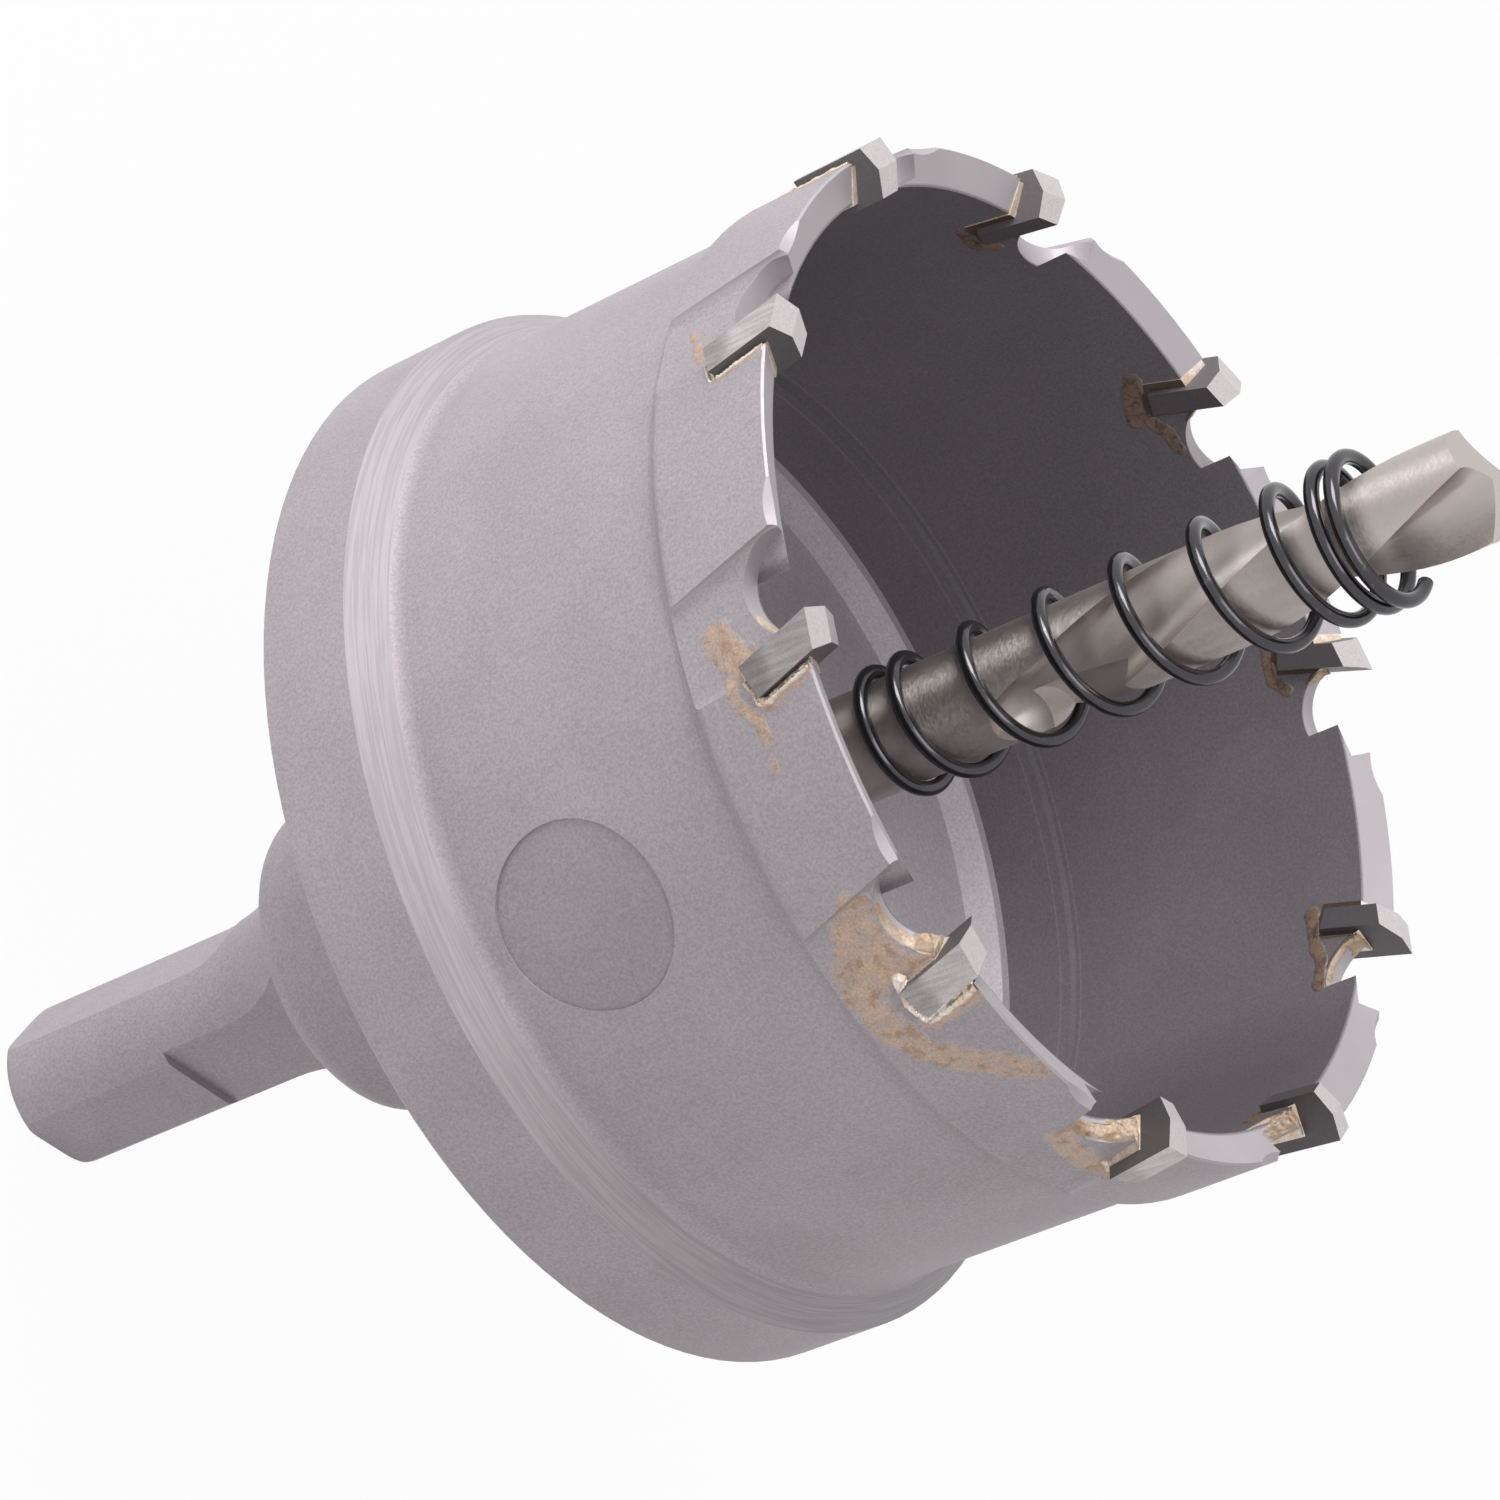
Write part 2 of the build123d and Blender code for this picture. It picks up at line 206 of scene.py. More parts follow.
def bump(tree, height, depth, normal=None):
    """Normal of a relief with its depth in metres, over another relief's normal if there is one."""
    node = tree.nodes.new("ShaderNodeBump")
    node.inputs["Strength"].default_value = 1.0
    node.inputs["Distance"].default_value = depth
    tree.links.new(height, node.inputs["Height"])
    if normal is not None:
        tree.links.new(normal, node.inputs["Normal"])
    return node.outputs["Normal"]


def object_vector(tree):
    """Position on the object."""
    return tree.nodes.new("ShaderNodeTexCoord").outputs["Object"]


def round_axis(tree, vector):
    """Radius from the axis, height and angle of a position."""
    parts = tree.nodes.new("ShaderNodeSeparateXYZ")
    tree.links.new(vector, parts.inputs[0])
    x, y, z = parts.outputs
    square = calc(tree, "ADD", product(tree, x, x), product(tree, y, y))
    return calc(tree, "SQRT", square), z, calc(tree, "ARCTAN2", y, x)


def ring_vector(tree, radius, height, angle, stretch):
    """Coordinates for marks that run round the axis, drawn out by a factor."""
    combine = tree.nodes.new("ShaderNodeCombineXYZ")
    tree.links.new(radius, combine.inputs[0])
    tree.links.new(product(tree, angle, BODY_RADIUS / stretch), combine.inputs[1])
    tree.links.new(height, combine.inputs[2])
    return combine.outputs[0]


def facing(tree):
    """How far the surface faces along the axis, and how far it faces away from the axis."""
    normal = tree.nodes.new("ShaderNodeNewGeometry").outputs["True Normal"]
    parts = tree.nodes.new("ShaderNodeSeparateXYZ")
    tree.links.new(normal, parts.inputs[0])
    from_axis = vector_calc(tree, "MULTIPLY", object_vector(tree), (1, 1, 0))
    out = vector_calc(tree, "NORMALIZE", from_axis)
    return parts.outputs[2], vector_calc(tree, "DOT_PRODUCT", out, normal)


def shown_rays(tree):
    """1 for what the camera, gloss and glass see, and 0 for the light that falls on the object."""
    paths = tree.nodes.new("ShaderNodeLightPath")
    return largest(
        tree,
        paths.outputs["Is Camera Ray"],
        paths.outputs["Is Glossy Ray"],
        paths.outputs["Is Transmission Ray"],
    )


# Finishes

def body_steel():
    """Blasted steel outside, dark inside the cup, with turned, ground and milled faces; painted shade at the
    band's foot and on the bore's step, and painted highlight rings beside that step.
    """
    material, tree, shader = new_material("body_steel")
    vector = object_vector(tree)
    radius, height, angle = round_axis(tree, vector)
    up, outward = facing(tree)
    floor_steel = (0.44, 0.405, 0.43, 1)
    bright = (0.53, 0.485, 0.51, 1)

    # Marks of the surface
    cloud = ramp(tree, grain(tree, vector, 9 * MM, 3), 0.3, 0.7, to_low=0.96, to_high=1.04)
    speckle = ramp(tree, grain(tree, vector, 0.22 * MM, 3, 0.7), 0.25, 0.75, to_low=0.84, to_high=1.16)
    mottle = product(tree, cloud, speckle)
    rings = ring_vector(tree, radius, height, angle, 40)
    turning = ramp(tree, grain(tree, rings, 0.22 * MM, 2, 0.6), 0.3, 0.7)

    # Where each face lies
    inside = product(
        tree,
        ramp(tree, radius, BORE_RADIUS + 0.25 * MM, BORE_RADIUS + 0.05 * MM),
        ramp(tree, height, FLOOR_HEIGHT - 0.6 * MM, FLOOR_HEIGHT - 0.2 * MM),
    )
    floor_face = product(
        tree,
        inside,
        ramp(tree, up, 0.3, 0.6),
        ramp(tree, height, FLOOR_LEDGE + 0.6 * MM, FLOOR_LEDGE + 0.3 * MM),
    )
    chamfer = product(
        tree,
        band(tree, height, FLANGE_FRONT + 0.02 * MM, CHAMFER_TOP - 0.02 * MM, 0.06 * MM),
        ramp(tree, radius, CHAMFER_INNER - 0.3 * MM, CHAMFER_INNER),
    )
    rim_face = product(
        tree,
        ramp(tree, height, RIM_HEIGHT - RIM_FALL - 0.1 * MM, RIM_HEIGHT - RIM_FALL),
        ramp(tree, up, 0.4, 0.8),
    )
    cut = product(
        tree,
        band(tree, radius, BORE_RADIUS + 0.1 * MM, BAND_RADIUS, 0.05 * MM),
        ramp(tree, height, BAND_START - 0.2 * MM, BAND_START),
        ramp(tree, outward, 0.75, 0.45),
    )
    # Painted shade: a soft darker ring just below the band, where the body flares out to it
    band_foot_painted_shade = band(tree, height, BAND_START - 1.15 * MM, BAND_START - 0.75 * MM, 0.25 * MM)
    round_mark = product(
        tree,
        band(tree, radius, BODY_RADIUS - 0.4 * MM, BODY_RADIUS - 0.14 * MM, 0.05 * MM),
        ramp(tree, outward, 0.8, 0.95),
    )
    # Painted shade: a dark ring on the step between the two bores
    bore_step_painted_shade = band(tree, height, LOWER_BORE_TOP - 0.35 * MM, LOWER_BORE_TOP, 0.02 * MM)
    # Painted highlights: two thin lighter rings, one on each side of the bore's step
    painted_highlight_rings = largest(
        tree,
        band(tree, height, LOWER_BORE_TOP - 1.25 * MM, LOWER_BORE_TOP - 1.15 * MM, 0.08 * MM),
        band(tree, height, LOWER_BORE_TOP + 0.35 * MM, LOWER_BORE_TOP + 0.45 * MM, 0.08 * MM),
    )

    # Colour
    # Painted shade at the band's foot, and a darker recessed flat
    tone = product(tree, factor_on(tree, band_foot_painted_shade, 0.95), factor_on(tree, round_mark, 0.88))
    turned = scaled(tree, bright, ramp(tree, turning, 0, 1, to_low=0.72, to_high=0.86))
    milled = scaled(tree, scaled(tree, bright, cloud), 0.9)
    # The bore's mottle, darkened on its step as painted shade and lightened on two thin rings as painted
    # highlights
    shade = product(tree, mottle, factor_on(tree, bore_step_painted_shade, 0.42), factor_on(tree, painted_highlight_rings, 1.22))
    colour = scaled(tree, scaled(tree, BLASTED_STEEL, mottle), tone)
    colour = blend(tree, chamfer, colour, turned)
    colour = blend(tree, largest(tree, rim_face, cut), colour, milled)
    colour = blend(tree, inside, colour, scaled(tree, BORE_STEEL, shade))
    colour = blend(tree, floor_face, colour, scaled(tree, floor_steel, mottle))
    tree.links.new(colour, shader.inputs["Base Color"])

    # Gloss
    worked = largest(tree, chamfer, rim_face, cut)
    rough = blend_value(tree, worked, 0.6, 0.5)
    tree.links.new(blend_value(tree, chamfer, rough, 0.65), shader.inputs["Roughness"])
    polish = blend_value(tree, worked, 0.3, 0.35)
    tree.links.new(blend_value(tree, chamfer, polish, 0.25), shader.inputs["Metallic"])

    # Relief
    coarse = bump(tree, grain(tree, vector, 0.25 * MM, 3, 0.6), 0.014 * MM)
    lines = product(tree, turning, largest(tree, chamfer, floor_face))
    tree.links.new(bump(tree, lines, 0.012 * MM, coarse), shader.inputs["Normal"])
    return material


def carbide(name, tone):
    """Sintered carbide: bright where it is ground, outside and on the lands, which are lightened further as a
    painted highlight, and dark on its unground sides, deepened into painted shade.
    """
    material, tree, shader = new_material(name)
    vector = object_vector(tree)
    radius, height, angle = round_axis(tree, vector)
    up, outward = facing(tree)
    ground = (0.46, 0.42, 0.425, 1)
    # Lands: a lighter copy of the ground carbide on faces that look along the axis, a painted highlight
    land_painted_highlight = (0.60, 0.555, 0.565, 1)
    dull = (0.31, 0.275, 0.28, 1)
    # Unground sides: the carbide's own darker grey, deepened into painted shade
    raw_and_painted_shade = (0.130, 0.117, 0.123, 1)

    speckle = ramp(tree, grain(tree, vector, 0.14 * MM, 2, 0.6), 0.25, 0.75, to_low=0.9, to_high=1.1)
    border = calc(tree, "ADD", height, product(tree, grain(tree, vector, 0.9 * MM, 3), 1.2 * MM))
    share = ramp(tree, border, TIP_BASE + 1.6 * MM, TIP_BASE + 3.0 * MM)
    rings = ring_vector(tree, radius, height, angle, 1)
    streaks = vector_calc(tree, "MULTIPLY", rings, (1, 1, 0.12))
    wear = ramp(tree, grain(tree, streaks, 0.35 * MM, 2), 0.35, 0.7, to_low=0.88, to_high=1.14)
    on_land = ramp(tree, up, 0.6, 0.8)
    worked = largest(tree, ramp(tree, outward, 0.6, 0.8), on_land)

    face = scaled(tree, blend(tree, share, dull, ground), product(tree, wear, tone))
    # Faces that are not ground take the painted shade colour, and the lands the painted highlight
    colour = blend(tree, worked, raw_and_painted_shade, blend(tree, on_land, face, land_painted_highlight))
    tree.links.new(scaled(tree, colour, speckle), shader.inputs["Base Color"])
    tree.links.new(blend_value(tree, worked, 0.5, 0.36), shader.inputs["Roughness"])
    tree.links.new(blend_value(tree, worked, 0.2, 0.55), shader.inputs["Metallic"])
    relief = bump(tree, grain(tree, vector, 0.18 * MM, 3, 0.6), 0.005 * MM)
    tree.links.new(relief, shader.inputs["Normal"])
    return material


def braze_metal(name, gold, pale, brown, burnt_from, roughness, metallic, depth, thin=None):
    """Copper-gold braze with brown burnt patches and a relief of some depth.

    Where its cover is low it lets a thin colour through. Without that colour it is a seam, which is dark on the
    bore's side.
    """
    material, tree, shader = new_material(name)
    vector = object_vector(tree)
    bore_side = (0.15, 0.105, 0.08, 1)

    patches = ramp(tree, grain(tree, vector, 1.1 * MM, 4, 0.6), 0.36, 0.62)
    burnt = ramp(tree, grain(tree, vector, 0.9 * MM, 3, 0.6), burnt_from, burnt_from + 0.2)
    speckle = ramp(tree, grain(tree, vector, 0.16 * MM, 2, 0.6), 0.25, 0.75, to_low=0.85, to_high=1.15)
    colour = blend(tree, burnt, blend(tree, patches, gold, pale), brown)
    if thin is None:
        colour = blend(tree, ramp(tree, facing(tree)[1], -0.6, -0.8), colour, bore_side)
    else:
        cover = tree.nodes.new("ShaderNodeAttribute")
        cover.attribute_name = "cover"
        thickness = calc(tree, "ADD", cover.outputs["Fac"], product(tree, patches, 0.25))
        colour = blend(tree, ramp(tree, thickness, 0.1, 0.75), thin, colour)
    tree.links.new(scaled(tree, colour, speckle), shader.inputs["Base Color"])
    rough = ramp(tree, burnt, 0, 1, to_low=roughness, to_high=roughness + 0.2)
    tree.links.new(rough, shader.inputs["Roughness"])
    shader.inputs["Metallic"].default_value = metallic
    relief = bump(tree, grain(tree, vector, 0.45 * MM, 4, 0.6), depth)
    tree.links.new(relief, shader.inputs["Normal"])
    return material


def drill_steel():
    """Ground high-speed steel, whose fine marks round the shank draw its highlights out along it."""
    material, tree, shader = new_material("drill_steel")
    radius, height, angle = round_axis(tree, object_vector(tree))
    steel = (0.56, 0.503, 0.476, 1)
    darkest, palest = 0.95, 1.04

    rings = ring_vector(tree, radius, height, angle, 30)
    marks = ramp(tree, grain(tree, rings, 0.12 * MM, 3, 0.6), 0.3, 0.7, to_low=darkest, to_high=palest)
    tree.links.new(scaled(tree, steel, marks), shader.inputs["Base Color"])
    rough = ramp(tree, marks, darkest, palest, to_low=0.34, to_high=0.42)
    tree.links.new(rough, shader.inputs["Roughness"])
    shader.inputs["Metallic"].default_value = 1.0
    shader.inputs["Anisotropic"].default_value = 0.9
    along = tree.nodes.new("ShaderNodeCombineXYZ")
    along.inputs[2].default_value = 1
    tree.links.new(along.outputs[0], shader.inputs["Tangent"])
    return material


def blackened(name, tint, roughness):
    """Blackened glossy steel with small brighter rubs."""
    material, tree, shader = new_material(name)
    worn = (0.15, 0.147, 0.152, 1)
    rub = ramp(tree, grain(tree, object_vector(tree), 0.8 * MM, 3, 0.6), 0.6, 0.85)
    tree.links.new(blend(tree, rub, tint, worn), shader.inputs["Base Color"])
    rough = ramp(tree, rub, 0, 1, to_low=roughness, to_high=roughness + 0.1)
    tree.links.new(rough, shader.inputs["Roughness"])
    shader.inputs["Metallic"].default_value = 0.85
    return material


def dress(name, material):
    """Gives a CAD node's object one finish."""
    slots = nodes[name].data.materials
    slots.clear()
    slots.append(material)


finish_carbide = carbide("carbide", tone=1.16)
finish_dull_carbide = carbide("carbide_dull", tone=0.80)
finish_seam = braze_metal(
    "braze",
    gold=(0.78, 0.60, 0.45, 1),
    pale=(0.90, 0.82, 0.74, 1),
    brown=(0.44, 0.29, 0.20, 1),
    burnt_from=0.66,
    roughness=0.32,
    metallic=0.40,
    depth=0.004 * MM,
)
finish_wall = braze_metal(
    "braze_wall",
    gold=(0.54, 0.38, 0.255, 1),
    pale=(0.62, 0.50, 0.40, 1),
    brown=(0.34, 0.22, 0.145, 1),
    burnt_from=0.54,
    roughness=0.50,
    metallic=0.12,
    depth=0.02 * MM,
)
finish_stain = braze_metal(
    "braze_stain",
    gold=(0.60, 0.425, 0.315, 1),
    pale=(0.50, 0.385, 0.335, 1),
    brown=(0.46, 0.32, 0.24, 1),
    burnt_from=0.48,
    roughness=0.46,
    metallic=0.35,
    depth=0.07 * MM,
    thin=BLASTED_STEEL,
)
finish_inner_stain = braze_metal(
    "braze_inner_stain",
    gold=(0.34, 0.23, 0.155, 1),
    pale=(0.25, 0.18, 0.14, 1),
    brown=(0.14, 0.095, 0.07, 1),
    burnt_from=0.46,
    roughness=0.5,
    metallic=0.35,
    depth=0.04 * MM,
    thin=BORE_STEEL,
)
dress("cutter_body", body_steel())
dress("pilot_drill", drill_steel())
dress("ejector_spring", blackened("spring_steel", (0.070, 0.067, 0.072, 1), roughness=0.17))
dress("grub_screw", blackened("screw_steel", (0.11, 0.108, 0.112, 1), roughness=0.32))
for number in range(1, TOOTH_COUNT + 1):
    dress(f"carbide_tip_{number:02d}", finish_dull_carbide if number in DULL_TIPS else finish_carbide)
    dress(f"braze_seam_{number:02d}", finish_seam)


# Braze that ran out over the steel round each tip

# Depth of a piece's edge in the steel, and of its underside below that
SINK = 0.05 * MM
UNDER = 0.15 * MM

# Size of the cells of a piece's grid, in millimetres, and the area under which a cell is left out
STAIN_CELL = 0.12
BEAD_CELL = 0.08
LEAST_CELL = 0.0006 * MM ** 2

# The search for the steel: the radii in millimetres where it starts, outside and in the cup, and its length.
# Steel that it meets deeper than these cuts, under the band's surface and behind the bore's, lies in a cut.
OUTER_START = 45
INNER_START = 20
SEARCH = 20 * MM
OUTER_CUT = 1.3 * MM
INNER_CUT = 0.5 * MM

# Distance of the outer braze from the rim's highest edge, and of all braze from a gullet's edge
RIM_MARGIN = 0.17 * MM
GULLET_MARGIN = 0.01 * MM

# A gullet's wall: its part of the circle in degrees, its grid, the width in millimetres that its runs are
# written for, the distance from its edge where the outer wall is looked up, and the width under which it is bare
WALL_FIRST = -188
WALL_LAST = -12
WALL_COLUMNS = 110
WALL_ROWS = 24
WALL_WIDTH = 2.5
WALL_MARGIN = 0.03 * MM
LEAST_WALL = 0.5 * MM

# Noises of a ragged border and of a lumpy top: frequency per millimetre, strength and shift of the seed
RAGGED = [(0.9, 1.0, 0), (2.6, 0.5, 9)]
LUMPY = [(1.6, 1.0, 20), (3.6, 0.6, 30)]

# Seeds of the pieces: a step for each tooth, and a shift for the pieces on the bore and on the gullets' walls
FACE_SEED_STEP = 3.7
BORE_SEED = 50
WALL_SEED_STEP = 5.1
WALL_SEED = 70

# Places are in millimetres on a tooth's radial plane: along the tangent from the middle of the tip's foot, and
# height. A run is a path, the half width of the braze and its height.
BACK_EDGE = [(1.39, 95.84), (0.23, 99.66)]
FOOT_EDGE = [(-1.34, 94.53), (-0.88, 94.57), (1.36, 95.26)]
USUAL_STAIN = [([(-2.9, 93.7), (-1.2, 93.7), (0.6, 94.0)], 0.75, 0.05), (BACK_EDGE, 0.75, 0.05)]
STAINS = {
    7: [
        ([(-3.4, 92.9), (-1.8, 93.5)], 0.5, 0.04),
        ([(-4.7, 92.4), (-4.4, 92.6)], 0.4, 0.04),
        (BACK_EDGE, 0.6, 0.05),
    ],
    8: [
        ([(-3.9, 93.0), (-2.6, 93.4), (-1.7, 94.3)], 1.35, 0.07),
        ([(-0.6, 93.2), (1.0, 93.5), (2.4, 94.6)], 0.6, 0.05),
        ([(2.4, 94.6), (3.8, 94.7)], 0.55, 0.03),
        ([(5.2, 94.6), (5.8, 94.5)], 0.35, 0.03),
        (BACK_EDGE, 0.8, 0.05),
    ],
    9: [
        ([(-7.2, 94.9), (-6.0, 93.4), (-4.0, 92.4), (-1.6, 91.6), (0.6, 91.9), (3.0, 92.9)], 1.5, 0.09),
        ([(-5.2, 94.4), (-3.2, 94.2), (-2.2, 93.3)], 1.6, 0.10),
        ([(-3.6, 95.2), (-2.2, 95.6), (-1.9, 97.0)], 1.0, 0.12),
        ([(3.0, 92.9), (5.2, 94.6), (6.6, 96.4), (8.6, 98.7)], 1.25, 0.10),
        ([(1.7, 95.2), (1.2, 97.4), (0.7, 99.5)], 1.1, 0.10),
    ],
    10: [([(-7.6, 95.4), (-5.2, 94.3), (-2.6, 93.9), (-1.0, 94.0)], 1.15, 0.08), (BACK_EDGE, 0.9, 0.06)],
}
USUAL_BEAD = [(FOOT_EDGE + BACK_EDGE, 0.26, 0.17)]
BEADS = {8: [(FOOT_EDGE + BACK_EDGE, 0.38, 0.34)], 9: [(FOOT_EDGE + BACK_EDGE, 0.66, 0.50)]}
USUAL_INSIDE = [([(1.2, 94.5), (-1.4, 94.2), (-2.6, 95.2)], 0.55, 0.05)]
INSIDES = {
    2: [([(1.2, 94.2), (-1.6, 94.5), (-3.6, 95.1), (-6.0, 95.3)], 0.65, 0.08)],
    4: [
        ([(2.0, 95.0), (0.8, 94.2), (-0.9, 93.4)], 0.85, 0.07),
        ([(-1.4, 94.3), (-2.8, 95.0), (-4.4, 95.2)], 0.6, 0.06),
    ],
}
# On a gullet's wall: degrees round the hole and share of the way out from the bore
USUAL_WALL = [([(-26, 0.0), (-26, 1.0)], 0.9, 0.22)]
WALLS = {
    1: [([(-26, 0.0), (-34, 0.6), (-26, 1.0)], 1.7, 0.50), ([(-60, 0.1), (-90, 0.2)], 0.7, 0.12)],
    2: [([(-26, 0.0), (-26, 1.0)], 1.0, 0.30), ([(-40, 0.1), (-90, 0.1), (-150, 0.2)], 0.8, 0.12)],
    8: [([(-26, 0.0), (-26, 1.0)], 0.8, 0.25), ([(-40, 0.3), (-60, 0.6)], 0.7, 0.08)],
    9: [([(-26, 0.0), (-32, 0.7), (-26, 1.0)], 1.5, 0.55), ([(-50, 0.7), (-95, 0.8)], 1.0, 0.16)],
    10: [
        ([(-26, 0.0), (-40, 0.6), (-26, 1.0)], 1.5, 0.45),
        ([(-60, 0.5), (-100, 0.7), (-150, 0.8)], 0.9, 0.28),
    ],
}


def reach_to(point, path):
    """Shortest distance from a point to a path."""
    gaps = []
    for (x0, y0), (x1, y1) in zip(path, path[1:]):
        run_x, run_y = x1 - x0, y1 - y0
        share = ((point[0] - x0) * run_x + (point[1] - y0) * run_y) / (run_x * run_x + run_y * run_y)
        share = min(max(share, 0.0), 1.0)
        gaps.append(hypot(point[0] - x0 - share * run_x, point[1] - y0 - share * run_y))
    return min(gaps)


def uneven(point, seed, noises):
    """Sum of some noises at a point."""
    return sum(
        strength * noise.noise(Vector((point[0] * rate, point[1] * rate, seed + shift)))
        for rate, strength, shift in noises
    )


def swell(point, runs, seed):
    """Height of the braze at a point, in metres, and its cover from 0 to 1: uneven, with a ragged border."""
    ragged = uneven(point, seed, RAGGED)
    lumpy = uneven(point, seed, LUMPY)
    highest, cover = 0.0, 0.0
    for path, width, height in runs:
        share = 1 - reach_to(point, path) / width + 0.3 * ragged
        if share > 0:
            rise = min(share * 1.6, 1.0)
            highest = max(highest, height * rise * (2 - rise) * (1 + 0.5 * lumpy))
            cover = max(cover, min(share * 1.4, 1.0))
    return highest * MM, cover


def tooth_axes(number):
    """Outward and tangent directions of a tooth."""
    turn = radians(TOOTH_FIRST_ANGLE + 360 / TOOTH_COUNT * (number - 1))
    return Vector((cos(turn), sin(turn), 0)), Vector((-sin(turn), cos(turn), 0))


def surface_tree():
    """The body and the seams as one search tree."""
    points, faces = [], []
    names = ["cutter_body"] + [f"braze_seam_{number:02d}" for number in range(1, TOOTH_COUNT + 1)]
    for name in names:
        mesh = nodes[name].data
        first = len(points)
        points += [vertex.co.copy() for vertex in mesh.vertices]
        faces += [[first + corner for corner in face.vertices] for face in mesh.polygons]
    return BVHTree.FromPolygons(points, faces)


def out_of_gullet(along, up):
    """Moves a place that falls in the gullet to the gullet's edge."""
    gap = hypot(along - GULLET_CENTRE, up - GULLET_HEIGHT)
    edge = GULLET_RADIUS + GULLET_MARGIN
    if gap >= edge or gap == 0:
        return along, up
    return (
        GULLET_CENTRE + (along - GULLET_CENTRE) * edge / gap,
        GULLET_HEIGHT + (up - GULLET_HEIGHT) * edge / gap,
    )


def outside_foot(tree, number, along, up):
    """Place on the outer wall for a place on a tooth's radial plane, or nothing where the wall is cut away."""
    out, tangent = tooth_axes(number)
    start = out * OUTER_START * MM + tangent * along + Vector((0, 0, up))
    hit = tree.ray_cast(start, -out, SEARCH)[0]
    if hit is None or hit.dot(out) < sqrt(BAND_RADIUS ** 2 - along ** 2) - OUTER_CUT:
        return None
    return hit


def inside_foot(tree, number, along, up):
    """Place on the bore for a place on a tooth's radial plane, or nothing where the wall is cut away."""
    out, tangent = tooth_axes(number)
    start = out * INNER_START * MM + tangent * along + Vector((0, 0, up))
    hit = tree.ray_cast(start, out, SEARCH)[0]
    if hit is None or hit.dot(out) > sqrt(BORE_RADIUS ** 2 - along ** 2) + INNER_CUT:
        return None
    return hit


def worth_keeping(spots):
    """Whether a cell's four spots are all there, with some height and some area."""
    if any(spot is None for spot in spots) or all(spot[2] <= 0 for spot in spots):
        return False
    a, b, c, d = (spot[0] for spot in spots)
    return (c - a).cross(d - b).length / 2 > LEAST_CELL


def joined(cells):
    """The cells without those that meet another only at a corner."""
    while True:
        loose = {
            (i, j)
            for i, j in cells
            for side in (-1, 1)
            if (i - 1, j + side) in cells and (i - 1, j) not in cells and (i, j + side) not in cells
        }
        if not loose:
            return cells
        cells = cells - loose


def kept_cells(grid):
    """Corners of each cell of a grid that is kept, in order round the cell."""
    cells = set()
    for i in range(len(grid) - 1):
        for j in range(len(grid[0]) - 1):
            if worth_keeping([grid[i][j], grid[i + 1][j], grid[i + 1][j + 1], grid[i][j + 1]]):
                cells.add((i, j))
    return [[(i, j), (i + 1, j), (i + 1, j + 1), (i, j + 1)] for i, j in sorted(joined(cells))]


def skin(name, grid, finish):
    """Closed piece over a grid of foot, direction, height and cover, or nothing, kept where it has height."""
    kept = kept_cells(grid)
    index, points, faces, covers = {}, [], [], []
    for corner in sorted({corner for corners in kept for corner in corners}):
        foot, way, height, cover = grid[corner[0]][corner[1]]
        index[corner] = len(points)
        covers += [cover, cover]
        points.append(foot + way * (height if height > 0 else -SINK))
        points.append(foot - way * (SINK + UNDER))
    for corners in kept:
        faces.append([index[corner] for corner in reversed(corners)])
        faces.append([index[corner] + 1 for corner in corners])
    edges = [edge for corners in kept for edge in zip(corners, corners[1:] + corners[:1])]
    known = set(edges)
    for a, b in edges:
        if (b, a) not in known:
            faces.append([index[a], index[b], index[b] + 1, index[a] + 1])
    mesh = bpy.data.meshes.new(name)
    mesh.from_pydata(points, [], faces)
    mesh.attributes.new("cover", "FLOAT", "POINT").data.foreach_set("value", covers)
    mesh.shade_smooth()
    mesh.materials.append(finish)
    piece = bpy.data.objects.new(name, mesh)
    bpy.context.scene.collection.objects.link(piece)
    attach(piece, "root")
    return piece


def spread(name, tree, number, runs, cell, finish, inner=False):
    """Braze over the outer wall or the bore, over the area that its runs reach."""
    out = tooth_axes(number)[0]
    way = -out if inner else out
    foot_at = inside_foot if inner else outside_foot
    seed = number * FACE_SEED_STEP + (BORE_SEED if inner else 0)
    top = RIM_HEIGHT - RIM_FALL if inner else RIM_HEIGHT - RIM_MARGIN
    reach = max(width for path, width, height in runs) * 1.5
    places = [place for path, width, height in runs for place in path]
    along_low = min(x for x, z in places) - reach
    along_high = max(x for x, z in places) + reach
    up_low = min(z for x, z in places) - reach
    up_high = min(max(z for x, z in places) + reach, top / MM)
    columns = round((along_high - along_low) / cell)
    rows = round((up_high - up_low) / cell)
    grid = []
    for i in range(rows + 1):
        z = up_low + (up_high - up_low) * i / rows
        line = []
        for j in range(columns + 1):
            spot = (along_low + (along_high - along_low) * j / columns, z)
            height, cover = swell(spot, runs, seed)
            along, up = out_of_gullet(spot[0] * MM, spot[1] * MM)
            foot = foot_at(tree, number, along, up)
            line.append(None if foot is None else (foot, way, height, cover))
        grid.append(line)
    if inner:
        grid.reverse()
    return skin(name, grid, finish)


def on_wall(turn, share):
    """Place on a gullet's wall in millimetres: along its arc, and out from the bore."""
    return turn * GULLET_RADIUS / MM, share * WALL_WIDTH


